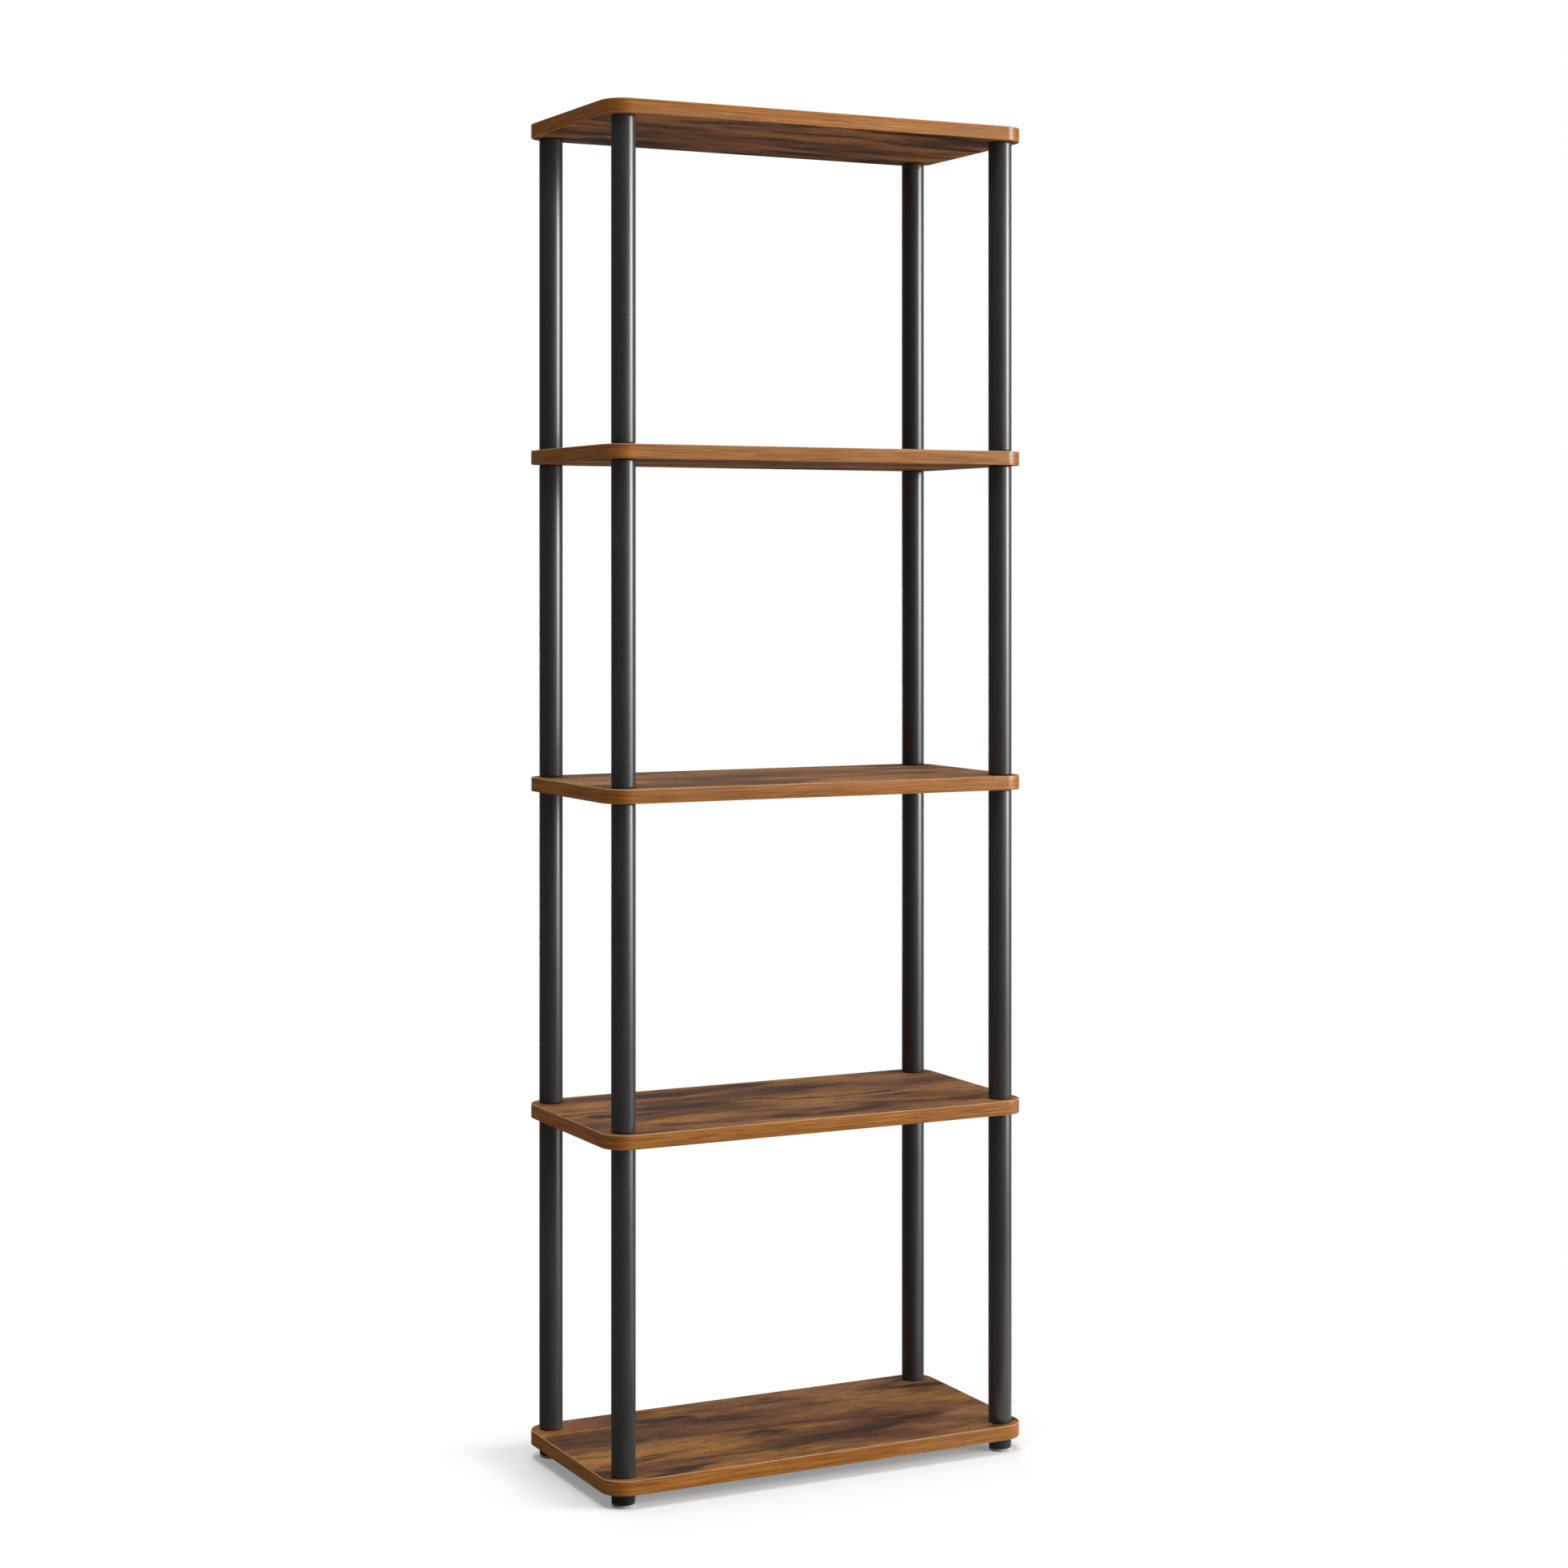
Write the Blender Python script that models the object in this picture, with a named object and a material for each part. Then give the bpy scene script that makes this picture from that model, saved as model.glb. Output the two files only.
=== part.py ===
"""Freestanding five-tier bookshelf: edge-banded boards carried on screwed round posts.

Metres, +Z up. X runs along the long side, Y from front to back, and the origin is on the floor, at the middle
of the footprint. The boards are clamped between tube posts: a stud joins each tube to the next one through a
board, a bolt closes the top of every post, and a bolted foot closes its bottom.
"""

import math

import bmesh
import bpy

# Boards
BOARD_COUNT = 5
BOARD_LENGTH = 0.490
BOARD_DEPTH = 0.235
BOARD_THICKNESS = 0.015
BOARD_CORNER_RADIUS = 0.025

# Strip glued round the rim of each board, with its outer edges eased
BAND_THICKNESS = 0.001
BAND_ARRIS = 0.0005

# Post axes, measured in from the ends and from the front and back of the boards
POST_INSET_SIDE = 0.02275
POST_INSET_FRONT = 0.0205

# Tubes, each with a threaded end fixed inside both ends
TUBE_LENGTH = 0.3344
TUBE_DIAMETER = 0.025
TUBE_WALL = 0.001
TUBE_END_RADIUS = 0.002
THREADED_END_DEPTH = 0.016

# Thread shared by the studs, the top bolts and the foot bolts
THREAD_DIAMETER = 0.008
THREAD_ENGAGEMENT = 0.014
THREAD_TIP_CHAMFER = 0.001

# Low-crowned bolts on the top board
TOP_HEAD_DIAMETER = 0.017
TOP_HEAD_RIM = 0.0007
TOP_HEAD_CROWN = 0.0009
TOP_HEAD_FLAT_DIAMETER = 0.010
SOCKET_FLATS = 0.004
SOCKET_DEPTH = 0.003

# Moulded feet, tapered towards the floor and rounded at the lower edge
FOOT_HEIGHT = 0.0119
FOOT_TOP_DIAMETER = 0.0248
FOOT_BOTTOM_DIAMETER = 0.0242
FOOT_EDGE_RADIUS = 0.0012

# Hexagon bolts seated in the feet
FOOT_BOLT_FLATS = 0.013
FOOT_BOLT_HEAD_HEIGHT = 0.0053
FOOT_BOLT_RECESS = 0.0004

# Discs under the feet
PAD_DIAMETER = 0.0235
PAD_THICKNESS = 0.0025
PAD_CHAMFER = 0.0005

# Clearances
SEAT_GAP = 0.0003
GLUE_GAP = 0.0003
THREAD_CLEARANCE = 0.0003
HEXAGON_CLEARANCE = 0.0003

# Facets
ROUND_SIDES = 18
HEXAGON_SIDES = 6
HOLE_SIDES = 12
CORNER_STEPS = 6
FILLET_STEPS = 2
SMOOTH_ANGLE = math.radians(40)

# Finishes: colour, roughness and metallic value
FINISHES = {
    "printed_board": ((0.16, 0.075, 0.03), 0.55, 0.0),
    "wood_grain_band": ((0.22, 0.11, 0.045), 0.5, 0.0),
    "black_satin_coating": ((0.02, 0.02, 0.021), 0.4, 0.5),
    "zinc_plated_steel": ((0.55, 0.55, 0.53), 0.35, 1.0),
    "blackened_steel": ((0.018, 0.018, 0.018), 0.35, 0.8),
    "black_moulding": ((0.012, 0.012, 0.012), 0.5, 0.0),
    "pale_grey_pad": ((0.6, 0.6, 0.58), 0.45, 0.0),
}

# Heights and places worked out from the sizes above
FOOT_BASE = PAD_THICKNESS + SEAT_GAP
FOOT_BOLT_SEAT = FOOT_BOLT_RECESS + FOOT_BOLT_HEAD_HEIGHT
FIRST_BOARD_BASE = FOOT_BASE + FOOT_HEIGHT + SEAT_GAP
BOARD_PITCH = BOARD_THICKNESS + SEAT_GAP + TUBE_LENGTH + SEAT_GAP
THREAD_RADIUS = THREAD_DIAMETER / 2
THREAD_HOLE_RADIUS = THREAD_RADIUS + THREAD_CLEARANCE
POST_X = BOARD_LENGTH / 2 - POST_INSET_SIDE
POST_Y = BOARD_DEPTH / 2 - POST_INSET_FRONT
CORNERS = {
    "front_left": (-POST_X, -POST_Y),
    "front_right": (POST_X, -POST_Y),
    "back_left": (-POST_X, POST_Y),
    "back_right": (POST_X, POST_Y),
}


def board_base(number):
    """Height of the underside of a board, counted from 1 at the bottom."""
    return FIRST_BOARD_BASE + (number - 1) * BOARD_PITCH


# Outlines


def circle(radius, sides=ROUND_SIDES):
    """Points of a round outline."""
    turns = [2 * math.pi * step / sides for step in range(sides)]
    return [(radius * math.cos(turn), radius * math.sin(turn)) for turn in turns]


def hole(radius, sides=ROUND_SIDES):
    """Points of a round hole whose flat sides stay clear of the true circle."""
    return circle(radius / math.cos(math.pi / sides), sides)


def hexagon(flats, sides=ROUND_SIDES):
    """Points along a hexagon, as many as a round outline has, so that the two can be joined."""
    points = []
    for step in range(sides):
        turn = 2 * math.pi * step / sides
        from_flat = turn % (2 * math.pi / HEXAGON_SIDES) - math.pi / HEXAGON_SIDES
        reach = flats / 2 / math.cos(from_flat)
        points.append((reach * math.cos(turn), reach * math.sin(turn)))
    return points


def board_outline(inset):
    """Rounded rectangle that lies inside the board's rim by the inset."""
    radius = BOARD_CORNER_RADIUS - inset
    centre_x = BOARD_LENGTH / 2 - BOARD_CORNER_RADIUS
    centre_y = BOARD_DEPTH / 2 - BOARD_CORNER_RADIUS
    quarter = math.pi / 2
    points = []
    for corner, (side_x, side_y) in enumerate(((1, 1), (-1, 1), (-1, -1), (1, -1))):
        for step in range(CORNER_STEPS + 1):
            turn = quarter * (corner + step / CORNER_STEPS)
            x = side_x * centre_x + radius * math.cos(turn)
            y = side_y * centre_y + radius * math.sin(turn)
            points.append((x, y))
    return points


def fillet(radius, reach, height, start):
    """Rounded stretch of a turned profile: circles about a round edge, over a quarter turn from the start."""
    rings = []
    for step in range(FILLET_STEPS + 1):
        turn = start + math.pi / 2 * step / FILLET_STEPS
        rings.append((circle(reach + radius * math.cos(turn)), height + radius * math.sin(turn)))
    return rings


# Solids


def finished_mesh(name, work, material):
    """Turns a worked shape into a named mesh with its material and soft round faces."""
    bmesh.ops.recalc_face_normals(work, faces=work.faces[:])
    mesh = bpy.data.meshes.new(name)
    work.to_mesh(mesh)
    work.free()
    mesh.materials.append(material)
    mesh.shade_smooth()
    mesh.set_sharp_from_angle(angle=SMOOTH_ANGLE)
    return mesh


def lofted(name, rings, material, through=False):
    """Solid skinned over rings of points: capped at both ends, or joined end to start round a hole."""
    work = bmesh.new()
    loops = [[work.verts.new((x, y, height)) for x, y in outline] for outline, height in rings]
    spans = list(zip(loops, loops[1:]))
    if through:
        spans.append((loops[-1], loops[0]))
    else:
        work.faces.new(loops[0])
        work.faces.new(loops[-1])
    for lower, upper in spans:
        for here in range(len(lower)):
            after = (here + 1) % len(lower)
            work.faces.new((lower[here], lower[after], upper[after], upper[here]))
    return finished_mesh(name, work, material)


def drilled_plate(name, outline, holes, thickness, material):
    """Flat plate of one outline, with holes right through it."""
    work = bmesh.new()
    for points in [outline, *holes]:
        corners = [work.verts.new((x, y, 0)) for x, y in points]
        for here, corner in enumerate(corners):
            work.edges.new((corner, corners[here - 1]))
    bmesh.ops.triangle_fill(work, edges=work.edges[:], use_beauty=True)
    lifted = bmesh.ops.extrude_face_region(work, geom=work.faces[:], use_keep_orig=True)
    upper = [part for part in lifted["geom"] if isinstance(part, bmesh.types.BMVert)]
    bmesh.ops.translate(work, verts=upper, vec=(0, 0, thickness))
    return finished_mesh(name, work, material)


# Pieces, each modelled with its underside at zero height


def shelf_board(material):
    """Board core, drilled at the four posts."""
    drill = hole(THREAD_HOLE_RADIUS, HOLE_SIDES)
    holes = [[(x + post_x, y + post_y) for x, y in drill] for post_x, post_y in CORNERS.values()]
    core = board_outline(BAND_THICKNESS + GLUE_GAP)
    return drilled_plate("shelf_board", core, holes, BOARD_THICKNESS, material)


def edge_band(material):
    """Strip round the rim of a board, as tall as the board is thick."""
    rings = [
        (board_outline(BAND_ARRIS), 0),
        (board_outline(0), BAND_ARRIS),
        (board_outline(0), BOARD_THICKNESS - BAND_ARRIS),
        (board_outline(BAND_ARRIS), BOARD_THICKNESS),
        (board_outline(BAND_THICKNESS), BOARD_THICKNESS),
        (board_outline(BAND_THICKNESS), 0),
    ]
    return lofted("edge_band", rings, material, through=True)


def post_tube(material):
    """Hollow tube with rounded ends, and a threaded end with its hole fixed inside each of them."""
    reach = TUBE_DIAMETER / 2 - TUBE_END_RADIUS
    bore = hole(TUBE_DIAMETER / 2 - TUBE_WALL)
    thread = hole(THREAD_HOLE_RADIUS)
    top_end = TUBE_LENGTH - THREADED_END_DEPTH
    rings = [(thread, 0)]
    rings += fillet(TUBE_END_RADIUS, reach, TUBE_END_RADIUS, -math.pi / 2)
    rings += fillet(TUBE_END_RADIUS, reach, TUBE_LENGTH - TUBE_END_RADIUS, 0)
    rings += [
        (thread, TUBE_LENGTH),
        (thread, top_end),
        (bore, top_end),
        (bore, THREADED_END_DEPTH),
        (thread, THREADED_END_DEPTH),
    ]
    return lofted("post_tube", rings, material, through=True)


def connecting_stud(material):
    """Stud that reaches through a board and into the tubes above and below it."""
    length = BOARD_THICKNESS + 2 * (SEAT_GAP + THREAD_ENGAGEMENT)
    shank = circle(THREAD_RADIUS, HOLE_SIDES)
    tip = circle(THREAD_RADIUS - THREAD_TIP_CHAMFER, HOLE_SIDES)
    rings = [
        (tip, 0),
        (shank, THREAD_TIP_CHAMFER),
        (shank, length - THREAD_TIP_CHAMFER),
        (tip, length),
    ]
    return lofted("connecting_stud", rings, material)


def top_bolt(material):
    """Bolt with a low crowned head and a hexagon socket, its head resting at zero height."""
    shank_length = SEAT_GAP + BOARD_THICKNESS + SEAT_GAP + THREAD_ENGAGEMENT
    crown = TOP_HEAD_RIM + TOP_HEAD_CROWN
    shank = circle(THREAD_RADIUS)
    rim = circle(TOP_HEAD_DIAMETER / 2)
    socket = hexagon(SOCKET_FLATS)
    rings = [
        (circle(THREAD_RADIUS - THREAD_TIP_CHAMFER), -shank_length),
        (shank, THREAD_TIP_CHAMFER - shank_length),
        (shank, 0),
        (rim, 0),
        (rim, TOP_HEAD_RIM),
        (circle(TOP_HEAD_FLAT_DIAMETER / 2), crown),
        (socket, crown),
        (socket, crown - SOCKET_DEPTH),
    ]
    return lofted("top_bolt", rings, material)


def foot(material):
    """Moulded foot with a hexagon pocket below and a hole for its bolt above the pocket."""
    pocket_roof = FOOT_BOLT_SEAT + SEAT_GAP
    pocket = hexagon(FOOT_BOLT_FLATS + 2 * HEXAGON_CLEARANCE)
    bolt_hole = hole(THREAD_HOLE_RADIUS)
    reach = FOOT_BOTTOM_DIAMETER / 2 - FOOT_EDGE_RADIUS
    rings = [
        (bolt_hole, pocket_roof),
        (pocket, pocket_roof),
        (pocket, 0),
    ]
    rings += fillet(FOOT_EDGE_RADIUS, reach, FOOT_EDGE_RADIUS, -math.pi / 2)
    rings += [
        (circle(FOOT_TOP_DIAMETER / 2), FOOT_HEIGHT),
        (bolt_hole, FOOT_HEIGHT),
    ]
    return lofted("foot", rings, material, through=True)


def foot_bolt(material):
    """Hexagon bolt from the foot's pocket up into the lowest tube."""
    head = hexagon(FOOT_BOLT_FLATS)
    shank = circle(THREAD_RADIUS)
    board_top = FIRST_BOARD_BASE + BOARD_THICKNESS - FOOT_BASE - FOOT_BOLT_RECESS
    length = board_top + SEAT_GAP + THREAD_ENGAGEMENT
    rings = [
        (head, 0),
        (head, FOOT_BOLT_HEAD_HEIGHT),
        (shank, FOOT_BOLT_HEAD_HEIGHT),
        (shank, length - THREAD_TIP_CHAMFER),
        (circle(THREAD_RADIUS - THREAD_TIP_CHAMFER), length),
    ]
    return lofted("foot_bolt", rings, material)


def foot_pad(material):
    """Disc that stands on the floor, eased round its lower edge."""
    radius = PAD_DIAMETER / 2
    rings = [
        (circle(radius - PAD_CHAMFER), 0),
        (circle(radius), PAD_CHAMFER),
        (circle(radius), PAD_THICKNESS),
    ]
    return lofted("foot_pad", rings, material)


# Assembly


def finish(name):
    """Plain material of one colour, from the table of finishes."""
    colour, roughness, metallic = FINISHES[name]
    material = bpy.data.materials.new(name)
    material.use_nodes = True
    shader = material.node_tree.nodes["Principled BSDF"]
    shader.inputs["Base Color"].default_value = (*colour, 1)
    shader.inputs["Roughness"].default_value = roughness
    shader.inputs["Metallic"].default_value = metallic
    return material


def axis_point(name, parent, x, y):
    """Empty on the floor that carries the pieces of one post, or the whole shelf."""
    point = bpy.data.objects.new(name, None)
    point.location = (x, y, 0)
    point.parent = parent
    bpy.context.collection.objects.link(point)
    return point


def place(name, mesh, parent, height):
    """Puts one piece over its parent, at a height above the floor."""
    piece = bpy.data.objects.new(name, mesh)
    piece.location = (0, 0, height)
    piece.parent = parent
    bpy.context.collection.objects.link(piece)


def build():
    """Makes each piece once and places its copies."""
    for old in list(bpy.data.objects):
        bpy.data.objects.remove(old, do_unlink=True)

    steel = finish("zinc_plated_steel")
    board_mesh = shelf_board(finish("printed_board"))
    band_mesh = edge_band(finish("wood_grain_band"))
    tube_mesh = post_tube(finish("black_satin_coating"))
    stud_mesh = connecting_stud(steel)
    top_bolt_mesh = top_bolt(finish("blackened_steel"))
    foot_mesh = foot(finish("black_moulding"))
    foot_bolt_mesh = foot_bolt(steel)
    pad_mesh = foot_pad(finish("pale_grey_pad"))

    shelf = axis_point("bookshelf", None, 0, 0)
    for number in range(1, BOARD_COUNT + 1):
        place(f"shelf_board_{number}", board_mesh, shelf, board_base(number))
        place(f"edge_band_{number}", band_mesh, shelf, board_base(number))

    top_face = board_base(BOARD_COUNT) + BOARD_THICKNESS
    stud_drop = SEAT_GAP + THREAD_ENGAGEMENT
    for corner, (x, y) in CORNERS.items():
        post = axis_point(f"post_{corner}", shelf, x, y)
        place(f"foot_pad_{corner}", pad_mesh, post, 0)
        place(f"foot_{corner}", foot_mesh, post, FOOT_BASE)
        place(f"foot_bolt_{corner}", foot_bolt_mesh, post, FOOT_BASE + FOOT_BOLT_RECESS)
        for number in range(1, BOARD_COUNT):
            tube_base = board_base(number) + BOARD_THICKNESS + SEAT_GAP
            place(f"post_tube_{number}_{corner}", tube_mesh, post, tube_base)
        for number in range(2, BOARD_COUNT):
            place(f"connecting_stud_{number}_{corner}", stud_mesh, post, board_base(number) - stud_drop)
        place(f"top_bolt_{corner}", top_bolt_mesh, post, top_face + SEAT_GAP)


build()
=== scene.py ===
"""Looks of the five-tier bookshelf: fine pieces over the frame's solids, finishes, studio and camera."""
import math

import bmesh
import bpy
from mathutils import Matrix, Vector


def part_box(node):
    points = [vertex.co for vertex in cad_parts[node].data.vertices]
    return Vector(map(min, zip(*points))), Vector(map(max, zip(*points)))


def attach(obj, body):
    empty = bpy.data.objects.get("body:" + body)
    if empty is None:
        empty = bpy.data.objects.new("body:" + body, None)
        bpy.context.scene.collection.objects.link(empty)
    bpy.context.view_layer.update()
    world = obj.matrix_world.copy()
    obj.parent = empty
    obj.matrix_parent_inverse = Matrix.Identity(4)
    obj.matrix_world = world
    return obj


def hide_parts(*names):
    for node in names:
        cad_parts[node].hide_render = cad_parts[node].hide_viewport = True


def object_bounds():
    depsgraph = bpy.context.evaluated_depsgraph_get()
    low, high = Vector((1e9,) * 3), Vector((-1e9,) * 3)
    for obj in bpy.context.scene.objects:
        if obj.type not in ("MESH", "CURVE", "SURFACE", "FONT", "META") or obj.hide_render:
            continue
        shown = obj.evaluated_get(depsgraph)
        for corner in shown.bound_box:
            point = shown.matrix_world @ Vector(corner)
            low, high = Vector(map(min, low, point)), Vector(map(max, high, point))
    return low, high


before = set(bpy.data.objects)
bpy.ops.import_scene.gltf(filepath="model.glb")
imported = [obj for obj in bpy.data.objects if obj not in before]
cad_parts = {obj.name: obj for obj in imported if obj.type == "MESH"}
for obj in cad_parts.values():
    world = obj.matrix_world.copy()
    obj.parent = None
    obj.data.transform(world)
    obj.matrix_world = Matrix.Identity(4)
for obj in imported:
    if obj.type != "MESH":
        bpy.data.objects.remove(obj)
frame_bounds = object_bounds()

# Sizes in metres that the frame's boxes don't give
BOARD_CORNER_RADIUS = 0.025
BAND_ARRIS = 0.0007
TUBE_WALL = 0.001
TUBE_END_RADIUS = 0.002
TUBE_END_DEPTH = 0.016
THREAD_HOLE_RADIUS = 0.0043
HEAD_CHAMFER = 0.0002
HEAD_RIM_HEIGHT = 0.0007
HEAD_FLAT_RADIUS = 0.005
SOCKET_FLATS = 0.004
SOCKET_CHAMFER = 0.0003
SOCKET_DEPTH = 0.003
SHANK_RADIUS = 0.004
SHANK_CHAMFER = 0.001
FOOT_CHAMFER = 0.0005
FOOT_TAPER = 0.0003
FOOT_EDGE_RADIUS = 0.0012
FOOT_POCKET_FLATS = 0.0136
FOOT_POCKET_DEPTH = 0.0060
PAD_EDGE_RADIUS = 0.0008

# Fineness of the round forms, and the angle in degrees from which an edge is sharp
ROUND_SIDES = 60
CORNER_STEPS = 16
FILLET_STEPS = 5
SHARP_ANGLE = 32.0

# Numbers and corners in the names of the frame's nodes
BOARD_COUNT = 5
BOARDS = range(1, BOARD_COUNT + 1)
BAYS = range(1, BOARD_COUNT)
CORNERS = ("front_left", "front_right", "back_left", "back_right")

# The frame's middle in plan
FRAME_MIDDLE = (0.0, 0.0)

# Print of the boards: where its sheet was cut, the share of fine grain in its patches, and its colours
PRINT_SHIFT = (1.13, 0.05, 0.0)
FIBRE_SHARE = 0.24
PRINT_BROWNS = (
    (0.36, (0.098, 0.040, 0.018)),
    (0.50, (0.172, 0.075, 0.031)),
    (0.63, (0.264, 0.123, 0.051)),
)
PRINT_AMBER = (0.352, 0.155, 0.038, 1.0)
PRINT_SMUDGE = (0.036, 0.016, 0.010, 1.0)
PRINT_TICK = (0.030, 0.016, 0.012, 1.0)

# Edge strip: the colours of its grain, and where on its height a pale highlight is painted along the
# arrises
BAND_BROWNS = (
    (0.30, (0.107, 0.034, 0.005)),
    (0.46, (0.200, 0.073, 0.011)),
    (0.58, (0.257, 0.100, 0.016)),
    (0.72, (0.332, 0.140, 0.025)),
)
BAND_EDGE_HIGHLIGHT = (0.39, 0.225, 0.115, 1.0)
BAND_EDGE_HIGHLIGHT_TOP = (0.935, 0.965)
BAND_EDGE_HIGHLIGHT_FOOT = (0.030, 0.015)

# Range that holds most values of a noise
NOISE_SPAN = (0.3, 0.7)

# Camera, found by fitting the boards' edges and the posts
CAMERA_PLACE = (-1.4603, -2.9295, 0.9523)
CAMERA_YAW = 26.64
CAMERA_LENS = 69.653
CAMERA_SENSOR = 36.0
CAMERA_SHIFT_Y = -0.13667

# Background and floor
WHITE = (1.0, 1.0, 1.0, 1.0)
AMBIENT = 0.235
FLOOR_SIZE = 40.0
FLOOR_BOUNCE = (0.62, 0.53, 0.45, 1.0)
FLOOR_TONE = (0.62, 0.62, 0.62, 1.0)
FLOOR_LIFT = 0.24
SHADOW_REACH = 0.105

# Lamps: azimuth in degrees from the front, power in watts
LAMP_AIM = (0.0, 0.0, 0.4)
KEY_AZIMUTH = 53.0
LAMPS = {
    "key": dict(azimuth=KEY_AZIMUTH, distance=5.0, height=1.78, size=(2.08, 2.2), power=312.0),
    "low": dict(azimuth=KEY_AZIMUTH, distance=3.6, height=0.38, size=(1.8, 0.7), power=24.0),
    "fill": dict(azimuth=18.0, distance=3.6, height=1.2, size=(1.6, 1.8), power=12.0),
    "top": dict(azimuth=-30.0, distance=1.0, height=5.0, size=(2.8, 2.8), power=159.0),
    "back": dict(azimuth=172.0, distance=1.8, height=3.4, size=(1.8, 1.4), power=44.0),
    "strip": dict(azimuth=176.0, distance=3.6, height=0.5, size=(0.3, 1.0), power=6.0),
}

# Cloths on the floor and the walls: azimuths in degrees from the front
CURTAIN_TUCK = 0.01
CURTAIN_LIFT = 0.002
CURTAIN_RADIUS = 5.5
CURTAIN_HEIGHT = 4.5
CURTAIN_STRIPS = 24
CURTAINS = {
    "front_curtain": dict(first=-178.0, last=34.0, tone=0.08),
    "back_curtain": dict(first=86.0, last=182.0, tone=0.14),
}


# Outlines and profiles

def circle(radius):
    """Points of a circle about the origin."""
    turns = [2 * math.pi * i / ROUND_SIDES for i in range(ROUND_SIDES)]
    return [(radius * math.cos(turn), radius * math.sin(turn)) for turn in turns]


def hexagon(flats):
    """Hexagon about the origin with as many points as a circle."""
    points = []
    for i in range(ROUND_SIDES):
        turn = 2 * math.pi * i / ROUND_SIDES
        reach = flats / 2 / math.cos(turn % (math.pi / 3) - math.pi / 6)
        points.append((reach * math.cos(turn), reach * math.sin(turn)))
    return points


def rounded_rectangle(corner, inset):
    """Rounded rectangle about the origin, from its right back corner, drawn in by an inset."""
    radius = BOARD_CORNER_RADIUS - inset
    reach_x = corner[0] - inset - radius
    reach_y = corner[1] - inset - radius
    points = []
    for quarter, (sign_x, sign_y) in enumerate(((1, 1), (-1, 1), (-1, -1), (1, -1))):
        for step in range(CORNER_STEPS + 1):
            turn = math.pi / 2 * (quarter + step / CORNER_STEPS)
            x = sign_x * reach_x + radius * math.cos(turn)
            y = sign_y * reach_y + radius * math.sin(turn)
            points.append((x, y))
    return points


def crown(across, down):
    """Pairs of inset and drop on a quarter of an ellipse, from the side to the end face."""
    turns = [math.pi / 2 * step / FILLET_STEPS for step in range(FILLET_STEPS + 1)]
    return [(across - across * math.cos(turn), down - down * math.sin(turn)) for turn in turns]


def fillet(radius):
    """Pairs of inset and drop that round an edge, from the side to the end face."""
    return crown(radius, radius)


def round_ended(radius, low, high, edge):
    """Profile of a round bar from its lower to its upper end, with both edges rounded."""
    eased = fillet(edge)
    profile = [(radius - side, low + drop) for side, drop in reversed(eased)]
    return profile + [(radius - side, high - drop) for side, drop in eased]


def placed(outline, centre, height):
    """Ring of points from an outline moved to a centre and a height."""
    return [(centre[0] + x, centre[1] + y, height) for x, y in outline]


def turned(profile, centre):
    """Rings of a turned form from pairs of radius and height."""
    return [placed(circle(radius), centre, height) for radius, height in profile]


# Places in the frame

def node_axis(node):
    """Middle of a node's box in plan, and its lowest and highest height."""
    low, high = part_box(node)
    return ((low[0] + high[0]) / 2, (low[1] + high[1]) / 2), low[2], high[2]


def node_radius(node):
    """Half of the width of a node's box."""
    low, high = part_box(node)
    return (high[0] - low[0]) / 2


# Meshes

def mesh_object(name, mesh_data, material):
    """Object in the scene from mesh data, which it uses up."""
    mesh = bpy.data.meshes.new(name)
    mesh_data.to_mesh(mesh)
    mesh_data.free()
    mesh.materials.append(material)
    made = bpy.data.objects.new(name, mesh)
    bpy.context.scene.collection.objects.link(made)
    return made


def shown_piece(name, mesh_data, node, material):
    """Turns mesh data into the shown piece that stands for one node of the frame."""
    bmesh.ops.recalc_face_normals(mesh_data, faces=mesh_data.faces)
    piece = mesh_object(name, mesh_data, material)
    piece.data.shade_smooth()
    piece.data.set_sharp_from_angle(angle=math.radians(SHARP_ANGLE))
    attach(piece, "root")
    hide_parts(node)


def lofted(rings, through=False):
    """Closed skin over rings of equal length, capped at both ends or joined from the last to the first."""
    made = bmesh.new()
    loops = [[made.verts.new(point) for point in ring] for ring in rings]
    count = len(loops[0])
    pairs = list(zip(loops, loops[1:]))
    if through:
        pairs.append((loops[-1], loops[0]))
    else:
        made.faces.new(loops[0])
        made.faces.new(loops[-1])
    for lower, upper in pairs:
        for i in range(count):
            j = (i + 1) % count
            made.faces.new((lower[i], lower[j], upper[j], upper[i]))
    return made


def runs_along(ring):
    """Length along a ring up to each of its points, and then all the way round."""
    runs = [0.0]
    for point, following in zip(ring, ring[1:] + ring[:1]):
        runs.append(runs[-1] + (Vector(following) - Vector(point)).length)
    return runs


def store_rim(mesh_data, rings, top, height):
    """Stores on each face corner its run along the rim, its share of the height, and the top's height."""
    store = mesh_data.loops.layers.float_vector.new("rim")
    mesh_data.verts.index_update()
    count = len(rings[0])
    runs = runs_along(rings[len(rings) // 2])
    for face in mesh_data.faces:
        places = [loop.vert.index % count for loop in face.loops]
        closing = max(places) - min(places) > 1
        for loop, place in zip(face.loops, places):
            run = runs[count] if closing and place == 0 else runs[place]
            loop[store] = (run, (loop.vert.co.z - top) / height + 1, top)


# Sub-parts

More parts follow.
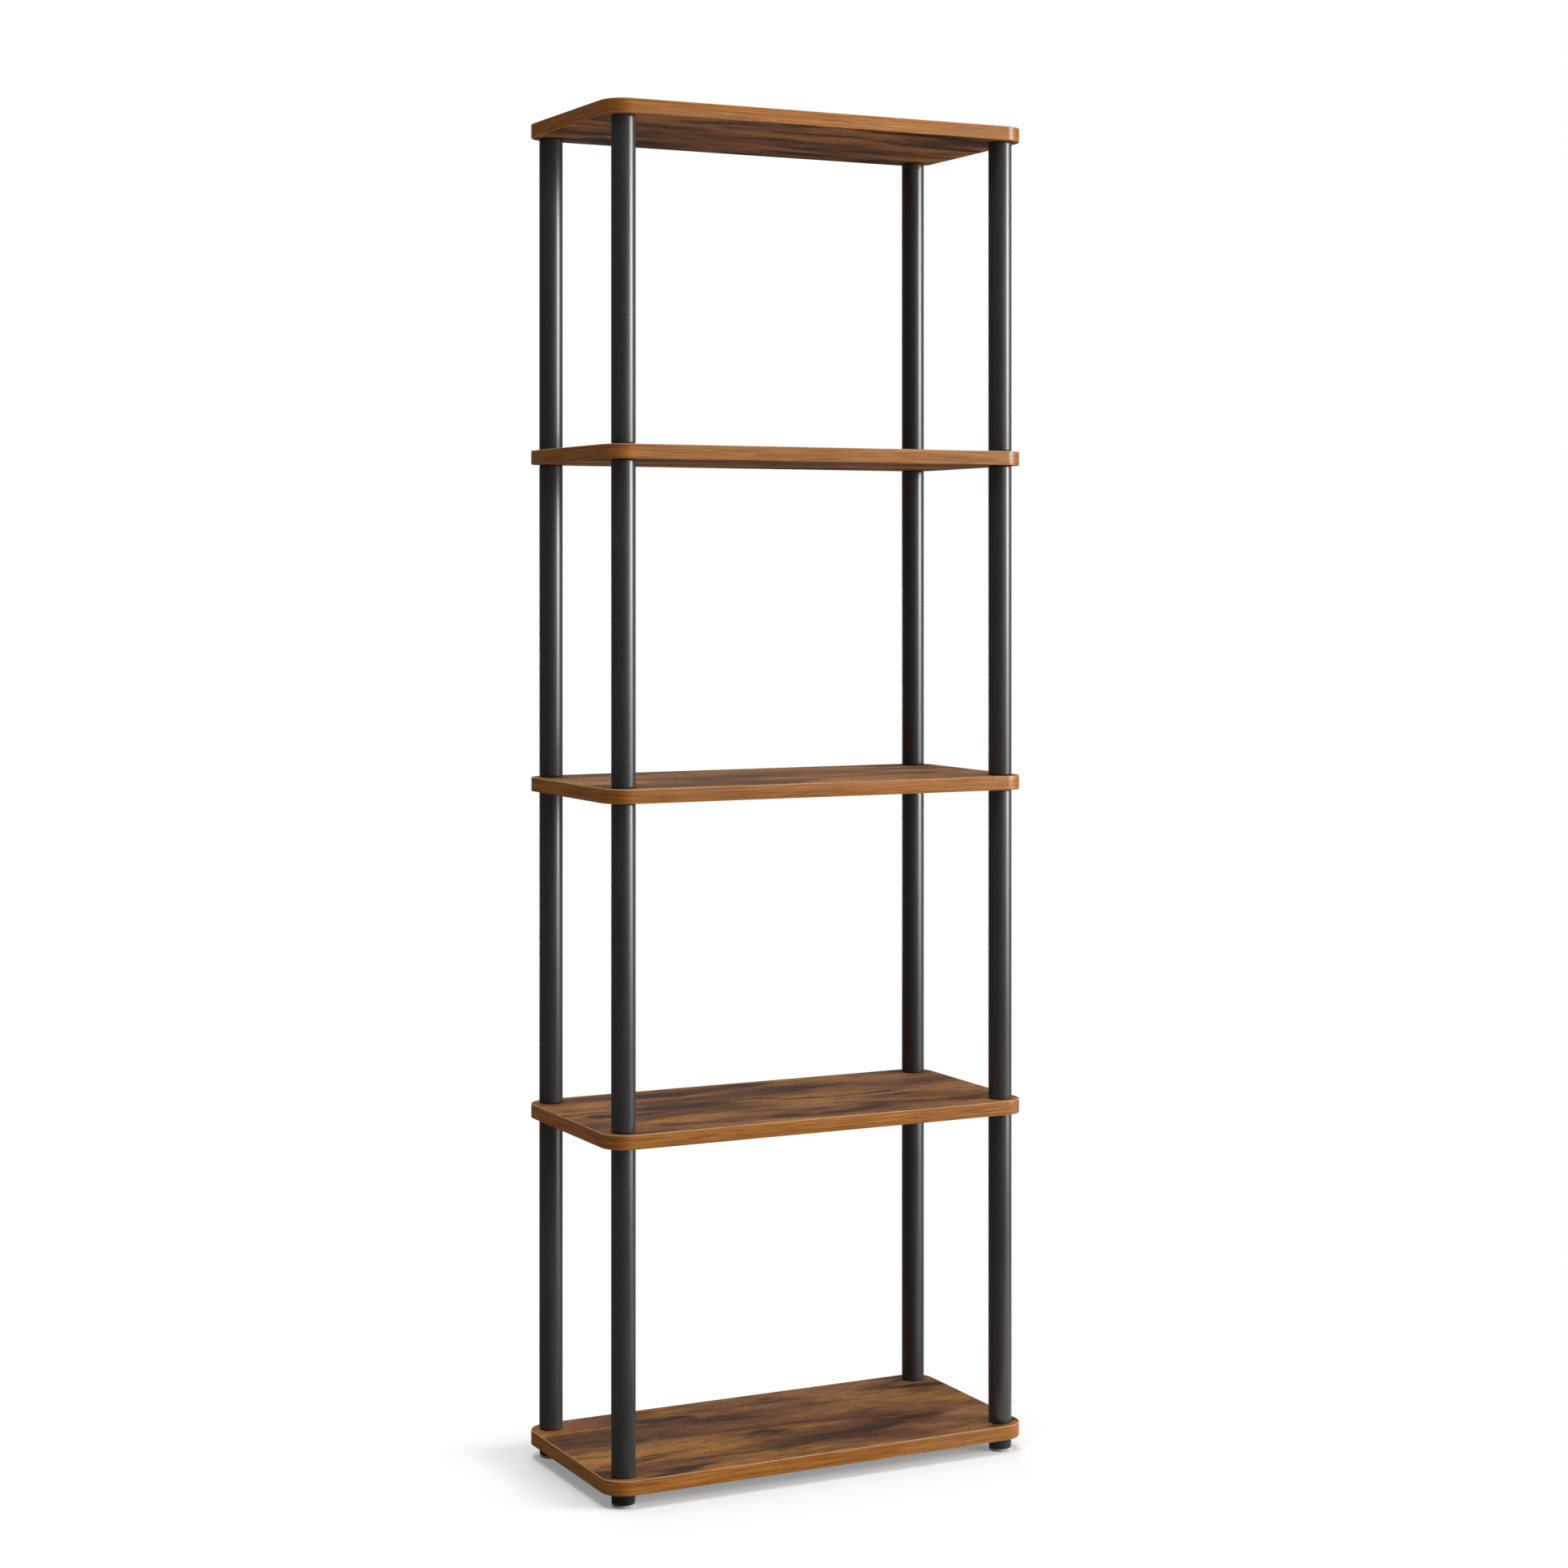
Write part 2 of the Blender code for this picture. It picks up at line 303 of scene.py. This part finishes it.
def shelf_board(number, material):
    """Drilled plate with rounded corners inside its edge band."""
    node = f"shelf_board_{number}"
    low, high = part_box(node)
    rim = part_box(f"edge_band_{number}")[1]
    outlines = [placed(rounded_rectangle(rim, rim[0] - high[0]), FRAME_MIDDLE, low[2])]
    for corner in CORNERS:
        centre = node_axis(f"post_tube_1_{corner}")[0]
        outlines.append(placed(circle(THREAD_HOLE_RADIUS), centre, low[2]))
    made = bmesh.new()
    edges = []
    for outline in outlines:
        verts = [made.verts.new(point) for point in outline]
        edges += [made.edges.new((verts[i - 1], verts[i])) for i in range(len(verts))]
    bmesh.ops.triangle_fill(made, edges=edges, use_beauty=True)
    raised = bmesh.ops.extrude_face_region(made, geom=made.faces[:], use_keep_orig=True)
    lifted = [item for item in raised["geom"] if isinstance(item, bmesh.types.BMVert)]
    bmesh.ops.translate(made, verts=lifted, vec=(0, 0, high[2] - low[2]))
    shown_piece(f"board_{number}", made, node, material)


def edge_band(number, material):
    """Strip round the rim with eased arrises, which carries the coordinates of its grain."""
    node = f"edge_band_{number}"
    low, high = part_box(node)
    inset = high[0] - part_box(f"shelf_board_{number}")[1][0]
    eased = fillet(BAND_ARRIS)
    section = [(inset, high[2])]
    section += [(side, high[2] - drop) for side, drop in reversed(eased)]
    section += [(side, low[2] + drop) for side, drop in eased]
    section.append((inset, low[2]))
    rings = [placed(rounded_rectangle(high, side), FRAME_MIDDLE, height) for side, height in section]
    made = lofted(rings, through=True)
    store_rim(made, rings, high[2], high[2] - low[2])
    shown_piece(f"band_{number}", made, node, material)


def post_tube(number, corner, material):
    """Round tube from board to board, with softly turned-in ends and a threaded stop inside each end."""
    node = f"post_tube_{number}_{corner}"
    centre = node_axis(node)[0]
    radius = node_radius(node)
    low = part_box(f"shelf_board_{number}")[1][2]
    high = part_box(f"shelf_board_{number + 1}")[0][2]
    lower_stop = low + TUBE_END_DEPTH
    upper_stop = high - TUBE_END_DEPTH
    profile = round_ended(radius, low, high, TUBE_END_RADIUS)
    profile += [(THREAD_HOLE_RADIUS, high), (THREAD_HOLE_RADIUS, upper_stop)]
    profile += [(radius - TUBE_WALL, upper_stop), (radius - TUBE_WALL, lower_stop)]
    profile += [(THREAD_HOLE_RADIUS, lower_stop), (THREAD_HOLE_RADIUS, low)]
    made = lofted(turned(profile, centre), through=True)
    shown_piece(f"tube_{number}_{corner}", made, node, material)


def top_bolt(corner, material):
    """Low crowned head with a hexagon socket, on a plain shank with a chamfered tip."""
    node = f"top_bolt_{corner}"
    centre, low, high = node_axis(node)
    radius = node_radius(node)
    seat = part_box(f"shelf_board_{BOARD_COUNT}")[1][2]
    profile = [(SHANK_RADIUS - SHANK_CHAMFER, low), (SHANK_RADIUS, low + SHANK_CHAMFER)]
    profile += [(SHANK_RADIUS, seat), (radius - HEAD_CHAMFER, seat), (radius, seat + HEAD_CHAMFER)]
    crowned = crown(radius - HEAD_FLAT_RADIUS, high - seat - HEAD_RIM_HEIGHT)
    profile += [(radius - side, high - drop) for side, drop in crowned]
    rings = turned(profile, centre)
    rings.append(placed(hexagon(SOCKET_FLATS + 2 * SOCKET_CHAMFER), centre, high))
    rings.append(placed(hexagon(SOCKET_FLATS), centre, high - SOCKET_CHAMFER))
    rings.append(placed(hexagon(SOCKET_FLATS), centre, high - SOCKET_DEPTH))
    shown_piece(f"bolt_{corner}", lofted(rings), node, material)


def foot(corner, material):
    """Short moulded foot, slightly tapered, with a rounded lower edge and a hexagon pocket for its bolt."""
    node = f"foot_{corner}"
    centre, low = node_axis(node)[:2]
    radius = node_radius(node)
    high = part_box("shelf_board_1")[0][2]
    pocket = low + FOOT_POCKET_DEPTH
    profile = [(radius - FOOT_CHAMFER, high), (radius, high - FOOT_CHAMFER)]
    profile += [(radius - FOOT_TAPER - side, low + drop) for side, drop in fillet(FOOT_EDGE_RADIUS)]
    rings = turned(profile, centre)
    rings += [placed(hexagon(FOOT_POCKET_FLATS), centre, height) for height in (low, pocket)]
    rings += turned([(THREAD_HOLE_RADIUS, pocket), (THREAD_HOLE_RADIUS, high)], centre)
    shown_piece(f"foot_{corner}", lofted(rings, through=True), node, material)


def foot_pad(corner, material):
    """Thin disc with rounded edges."""
    node = f"foot_pad_{corner}"
    centre, low = node_axis(node)[:2]
    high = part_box(f"foot_{corner}")[0][2]
    profile = round_ended(node_radius(node), low, high, PAD_EDGE_RADIUS)
    shown_piece(f"pad_{corner}", lofted(turned(profile, centre)), node, material)


# Nodes of a material

def connect(tree, node, inputs):
    """Gives each listed input of a node a value or a link."""
    for key, value in inputs.items():
        if isinstance(value, bpy.types.NodeSocket):
            tree.links.new(value, node.inputs[key])
        else:
            node.inputs[key].default_value = value


def add(tree, kind, inputs=None, **options):
    """Adds a node, sets its options and gives it its inputs."""
    made = tree.nodes.new(kind)
    for option, value in options.items():
        setattr(made, option, value)
    connect(tree, made, inputs or {})
    return made


def bare_material(name):
    """Node material without nodes, and its tree."""
    material = bpy.data.materials.new(name)
    material.use_nodes = True
    material.node_tree.nodes.clear()
    return material, material.node_tree


def new_material(name):
    """Node material with its surface shader, and its tree."""
    material, tree = bare_material(name)
    shader = add(tree, "ShaderNodeBsdfPrincipled")
    add(tree, "ShaderNodeOutputMaterial", {"Surface": shader.outputs["BSDF"]})
    return material, tree, shader


def feed(tree, shader, **inputs):
    """Sets or links inputs of the surface shader, named with underscores for spaces."""
    connect(tree, shader, {key.replace("_", " "): value for key, value in inputs.items()})


def object_place(tree):
    """Coordinates of a place in the object's own space."""
    return add(tree, "ShaderNodeTexCoord").outputs["Object"]


def value_from(tree, operation, *values):
    """Value worked out from other values."""
    made = add(tree, "ShaderNodeMath", dict(enumerate(values)), operation=operation)
    return made.outputs["Value"]


def vector_from(tree, operation, *vectors):
    """Vector worked out from other vectors."""
    made = add(tree, "ShaderNodeVectorMath", dict(enumerate(vectors)), operation=operation)
    return made.outputs["Vector"]


def noise(tree, place, stretch, detail, roughness, distortion=0.0):
    """Noise value over coordinates stretched along each axis."""
    stretched = add(tree, "ShaderNodeMapping", {"Vector": place, "Scale": stretch})
    made = add(tree, "ShaderNodeTexNoise", {
        "Vector": stretched.outputs["Vector"], "Scale": 1.0, "Detail": detail,
        "Roughness": roughness, "Distortion": distortion})
    return made.outputs["Fac"]


def ramp(tree, factor, stops):
    """Colour ramp through pairs of position and colour."""
    made = add(tree, "ShaderNodeValToRGB", {"Fac": factor})
    elements = made.color_ramp.elements
    for stop in stops[1:-1]:
        elements.new(stop[0])
    for element, (position, colour) in zip(elements, stops):
        element.position = position
        element.color = (*colour, 1.0)
    return made.outputs["Color"]


def two_tone(tree, value, dark, light):
    """Colour that goes from dark to light with a noise value."""
    return ramp(tree, value, tuple(zip(NOISE_SPAN, (dark, light))))


def spread(tree, value, span, shares):
    """Maps a value from one range to another, held at both ends."""
    made = add(tree, "ShaderNodeMapRange", {
        "Value": value, "From Min": span[0], "From Max": span[1], "To Min": shares[0], "To Max": shares[1]})
    return made.outputs["Result"]


def blend(tree, factor, first, second, kind="MIX"):
    """Mixes two colours by a factor, through the mix node's sockets for colours."""
    made = add(tree, "ShaderNodeMix", {0: factor, 6: first, 7: second}, data_type="RGBA", blend_type=kind)
    return made.outputs[2]


def shaded(tree, colour, tone):
    """Colour multiplied by one tone in each channel."""
    grey = add(tree, "ShaderNodeCombineColor", {"Red": tone, "Green": tone, "Blue": tone})
    return blend(tree, 1.0, colour, grey.outputs["Color"], "MULTIPLY")


def bump(tree, height, strength, distance):
    """Fine relief from a height value."""
    made = add(tree, "ShaderNodeBump", {"Height": height, "Strength": strength, "Distance": distance})
    return made.outputs["Normal"]


# Finishes

def fibrous(tree, patch, streak):
    """Patch value drawn out into fibres along the grain."""
    raised = value_from(tree, "MULTIPLY_ADD", streak, FIBRE_SHARE, patch)
    return value_from(tree, "SUBTRACT", raised, FIBRE_SHARE / 2)


def printed_board_finish():
    """Rustic brown print: cloudy wood, amber patches, dark smudges, and fine grain along the length."""
    material, tree, shader = new_material("printed_board")
    place = vector_from(tree, "ADD", object_place(tree), PRINT_SHIFT)
    streak = noise(tree, place, (16.0, 250.0, 29.0), detail=5.0, roughness=0.6, distortion=0.3)
    cloud = noise(tree, place, (5.0, 15.0, 31.0), detail=3.0, roughness=0.55, distortion=0.6)
    wood = ramp(tree, fibrous(tree, cloud, streak), PRINT_BROWNS)
    amber = noise(tree, place, (4.5, 19.0, 37.0), detail=3.0, roughness=0.5, distortion=0.5)
    amber = spread(tree, fibrous(tree, amber, streak), (0.45, 0.63), (0.0, 0.9))
    wood = blend(tree, amber, wood, PRINT_AMBER)
    smudge = noise(tree, place, (7.0, 32.0, 43.0), detail=4.0, roughness=0.6, distortion=0.6)
    smudge = spread(tree, fibrous(tree, smudge, streak), (0.50, 0.64), (0.0, 0.95))
    wood = blend(tree, smudge, wood, PRINT_SMUDGE)
    tick = noise(tree, place, (70.0, 330.0, 47.0), detail=2.0, roughness=0.5, distortion=0.4)
    wood = blend(tree, spread(tree, tick, (0.63, 0.70), (0.0, 0.7)), wood, PRINT_TICK)
    mottle = noise(tree, place, (48.0, 120.0, 41.0), detail=5.0, roughness=0.65, distortion=0.5)
    wood = shaded(tree, wood, spread(tree, mottle, NOISE_SPAN, (0.73, 1.19)))
    pore = noise(tree, place, (22.0, 700.0, 31.0), detail=3.0, roughness=0.6)
    wood = shaded(tree, wood, spread(tree, pore, (0.35, 0.55), (0.72, 1.06)))
    feed(tree, shader, Base_Color=wood, Roughness=spread(tree, streak, NOISE_SPAN, (0.66, 0.54)), IOR=1.45,
         Specular_IOR_Level=0.13, Normal=bump(tree, streak, strength=0.2, distance=0.0002))
    return material


def edge_band_finish():
    """Wood-grain strip: fine lines along the rim, lighter and darker lengths, and a painted pale highlight
    along the top and bottom arrises.
    """
    material, tree, shader = new_material("edge_band")
    rim = add(tree, "ShaderNodeAttribute", attribute_name="rim").outputs["Vector"]
    height = add(tree, "ShaderNodeSeparateXYZ", {"Vector": rim}).outputs["Y"]
    line = noise(tree, rim, (18.0, 9.0, 37.0), detail=5.0, roughness=0.66, distortion=0.5)
    wood = ramp(tree, line, BAND_BROWNS)
    length = noise(tree, rim, (4.0, 1.2, 29.0), detail=2.0, roughness=0.5)
    wood = shaded(tree, wood, spread(tree, length, NOISE_SPAN, (0.85, 1.15)))
    upper = spread(tree, height, BAND_EDGE_HIGHLIGHT_TOP, (0.0, 1.0))
    lower = spread(tree, height, BAND_EDGE_HIGHLIGHT_FOOT, (0.0, 0.3))
    flicker = noise(tree, rim, (60.0, 3.0, 23.0), detail=2.0, roughness=0.6)
    flicker = spread(tree, flicker, (0.3, 0.6), (0.5, 0.9))
    # Painted highlight: pale colour mixed onto the top arris, and more weakly onto the bottom arris, where
    # light catches the eased edges
    edge_highlight = value_from(tree, "MULTIPLY", value_from(tree, "MAXIMUM", upper, lower), flicker)
    wood = blend(tree, edge_highlight, wood, BAND_EDGE_HIGHLIGHT)
    feed(tree, shader, Base_Color=wood, Roughness=spread(tree, line, NOISE_SPAN, (0.50, 0.44)), IOR=1.45,
         Specular_IOR_Level=0.18, Coat_Weight=0.25, Coat_Roughness=0.14,
         Normal=bump(tree, line, strength=0.1, distance=0.0002))
    return material


def coated_tube_finish():
    """Black satin powder coat with a very fine orange peel."""
    material, tree, shader = new_material("coated_tube")
    place = object_place(tree)
    peel = noise(tree, place, (900.0, 900.0, 900.0), detail=2.0, roughness=0.5)
    cloud = noise(tree, place, (40.0, 40.0, 9.0), detail=3.0, roughness=0.6)
    tone = two_tone(tree, cloud, dark=(0.025, 0.0255, 0.027), light=(0.031, 0.0315, 0.033))
    feed(tree, shader, Base_Color=tone, Roughness=spread(tree, cloud, NOISE_SPAN, (0.27, 0.31)), IOR=1.5,
         Normal=bump(tree, peel, strength=0.01, distance=0.0001))
    return material


def moulded_foot_finish():
    """Black moulded plastic, faintly grained."""
    material, tree, shader = new_material("moulded_foot")
    grain = noise(tree, object_place(tree), (1500.0, 1500.0, 1500.0), detail=2.0, roughness=0.5)
    tone = two_tone(tree, grain, dark=(0.008, 0.008, 0.008), light=(0.014, 0.014, 0.014))
    feed(tree, shader, Base_Color=tone, Roughness=spread(tree, grain, NOISE_SPAN, (0.42, 0.52)), IOR=1.35,
         Normal=bump(tree, grain, strength=0.15, distance=0.0001))
    return material


def grey_pad_finish():
    """Grey pad, a little translucent, with a cloudy tone."""
    material, tree, shader = new_material("grey_pad")
    cloud = noise(tree, object_place(tree), (260.0, 260.0, 260.0), detail=3.0, roughness=0.6)
    tone = two_tone(tree, cloud, dark=(0.30, 0.30, 0.295), light=(0.42, 0.42, 0.41))
    feed(tree, shader, Base_Color=tone, Roughness=spread(tree, cloud, NOISE_SPAN, (0.45, 0.6)), IOR=1.45,
         Subsurface_Weight=0.25, Subsurface_Radius=(0.002, 0.002, 0.002),
         Normal=bump(tree, cloud, strength=0.1, distance=0.0001))
    return material


def blackened_steel_finish():
    """Oil-blackened steel with fine marks."""
    material, tree, shader = new_material("blackened_steel")
    mark = noise(tree, object_place(tree), (700.0, 700.0, 300.0), detail=3.0, roughness=0.6)
    tone = two_tone(tree, mark, dark=(0.020, 0.020, 0.021), light=(0.040, 0.040, 0.041))
    feed(tree, shader, Base_Color=tone, Roughness=spread(tree, mark, NOISE_SPAN, (0.30, 0.42)),
         Metallic=1.0, Normal=bump(tree, mark, strength=0.1, distance=0.0001))
    return material


def plated_steel_finish():
    """Bright zinc plate with a cloudy roughness."""
    material, tree, shader = new_material("plated_steel")
    cloud = noise(tree, object_place(tree), (300.0, 300.0, 900.0), detail=3.0, roughness=0.6)
    tone = two_tone(tree, cloud, dark=(0.50, 0.50, 0.48), light=(0.64, 0.64, 0.62))
    feed(tree, shader, Base_Color=tone, Roughness=spread(tree, cloud, NOISE_SPAN, (0.28, 0.42)),
         Metallic=1.0, Normal=bump(tree, cloud, strength=0.1, distance=0.0001))
    return material


# Studio

def mixed(tree, factor, first, second):
    """Shader mixed from two others by a factor."""
    return add(tree, "ShaderNodeMixShader", {0: factor, 1: first, 2: second}).outputs["Shader"]


def glow(tree, strength):
    """White light that a surface gives off."""
    return add(tree, "ShaderNodeEmission", {"Color": WHITE, "Strength": strength}).outputs["Emission"]


def background_ray(tree):
    """One for rays that show the background, by eye, in gloss or through glass, and nought for others."""
    path = add(tree, "ShaderNodeLightPath").outputs
    seen = value_from(tree, "MAXIMUM", path["Is Camera Ray"], path["Is Glossy Ray"])
    return value_from(tree, "MAXIMUM", seen, path["Is Transmission Ray"])


def studio_world():
    """White background, with a dim even light on the object."""
    world = bpy.data.worlds.new("studio")
    bpy.context.scene.world = world
    world.use_nodes = True
    tree = world.node_tree
    tree.nodes.clear()
    ambient = add(tree, "ShaderNodeBackground", {"Color": WHITE, "Strength": AMBIENT}).outputs[0]
    white = add(tree, "ShaderNodeBackground", {"Color": WHITE, "Strength": 1.0}).outputs[0]
    add(tree, "ShaderNodeOutputWorld", {"Surface": mixed(tree, background_ray(tree), ambient, white)})


def past_base(tree):
    """Nought at the foot of the object, rising to one where its shadow has run out."""
    away = vector_from(tree, "ABSOLUTE", object_place(tree))
    away = vector_from(tree, "SUBTRACT", away, (*frame_bounds[1][:2], 0.0))
    away = vector_from(tree, "MAXIMUM", away, (0.0, 0.0, 0.0))
    away = add(tree, "ShaderNodeVectorMath", {0: away}, operation="LENGTH").outputs["Value"]
    made = add(tree, "ShaderNodeMapRange", {"Value": away, "From Max": SHADOW_REACH},
               interpolation_type="SMOOTHSTEP")
    return made.outputs["Result"]


def studio_floor():
    """Pale floor that keeps the soft shadow near the feet and runs out to white."""
    material, tree = bare_material("floor")
    bounce = add(tree, "ShaderNodeBsdfDiffuse", {"Color": FLOOR_BOUNCE}).outputs[0]
    tone = add(tree, "ShaderNodeBsdfDiffuse", {"Color": FLOOR_TONE}).outputs[0]
    near = add(tree, "ShaderNodeAddShader", {0: tone, 1: glow(tree, FLOOR_LIFT)}).outputs[0]
    shown = mixed(tree, past_base(tree), near, glow(tree, 1.0))
    add(tree, "ShaderNodeOutputMaterial", {"Surface": mixed(tree, background_ray(tree), bounce, shown)})
    made = bmesh.new()
    bmesh.ops.create_grid(made, x_segments=1, y_segments=1, size=FLOOR_SIZE / 2)
    mesh_object("floor", made, material)


def studio_curtain(name, first, last, tone):
    """Dim cloth from under the object over the floor and up a wall, which only glossy surfaces show."""
    material, tree = bare_material(name)
    add(tree, "ShaderNodeOutputMaterial", {"Surface": glow(tree, tone)})
    half_width, half_depth = [side - CURTAIN_TUCK for side in frame_bounds[1][:2]]
    made = bmesh.new()
    rows = []
    for strip in range(CURTAIN_STRIPS + 1):
        turn = math.radians(first + (last - first) * strip / CURTAIN_STRIPS)
        across, along = math.sin(turn), -math.cos(turn)
        start = 1 / max(abs(across) / half_width, abs(along) / half_depth)
        folds = ((start, CURTAIN_LIFT), (CURTAIN_RADIUS, CURTAIN_LIFT), (CURTAIN_RADIUS, CURTAIN_HEIGHT))
        rows.append([made.verts.new((away * across, away * along, up)) for away, up in folds])
    for row, following in zip(rows, rows[1:]):
        for i in range(len(row) - 1):
            made.faces.new((row[i], following[i], following[i + 1], row[i + 1]))
    curtain = mesh_object(name, made, material)
    curtain.visible_camera = False
    curtain.visible_diffuse = False
    curtain.visible_shadow = False


def soft_lamp(name, azimuth, distance, height, size, power):
    """Rectangular soft lamp on a circle round the object, turned towards the aim point."""
    data = bpy.data.lights.new(name, "AREA")
    data.shape = "RECTANGLE"
    data.size, data.size_y = size
    data.energy = power
    lamp = bpy.data.objects.new(name, data)
    turn = math.radians(azimuth)
    lamp.location = (distance * math.sin(turn), -distance * math.cos(turn), height)
    lamp.rotation_euler = (Vector(LAMP_AIM) - lamp.location).to_track_quat("-Z", "Y").to_euler()
    bpy.context.scene.collection.objects.link(lamp)


def camera():
    """Level camera with a drop of the lens, so uprights stay upright."""
    data = bpy.data.cameras.new("camera")
    data.sensor_width = CAMERA_SENSOR
    data.lens = CAMERA_LENS
    data.shift_y = CAMERA_SHIFT_Y
    made = bpy.data.objects.new("camera", data)
    made.location = CAMERA_PLACE
    made.rotation_euler = (math.radians(90.0), 0.0, -math.radians(CAMERA_YAW))
    bpy.context.scene.collection.objects.link(made)
    bpy.context.scene.camera = made


# The bookshelf

def bookshelf():
    """Dresses every node of the frame."""
    board = printed_board_finish()
    band = edge_band_finish()
    tube = coated_tube_finish()
    plastic = moulded_foot_finish()
    pad = grey_pad_finish()
    black_bolt = blackened_steel_finish()
    plated = plated_steel_finish()
    for number in BOARDS:
        shelf_board(number, board)
        edge_band(number, band)
    for corner in CORNERS:
        for number in BAYS:
            post_tube(number, corner, tube)
        top_bolt(corner, black_bolt)
        foot(corner, plastic)
        foot_pad(corner, pad)
    for name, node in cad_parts.items():
        if name.startswith(("connecting_stud", "foot_bolt")):
            node.data.materials.clear()
            node.data.materials.append(plated)


bookshelf()
studio_world()
studio_floor()
for name, curtain in CURTAINS.items():
    studio_curtain(name, **curtain)
for name, lamp in LAMPS.items():
    soft_lamp(name, **lamp)
camera()
bpy.context.scene.view_settings.view_transform = "Standard"
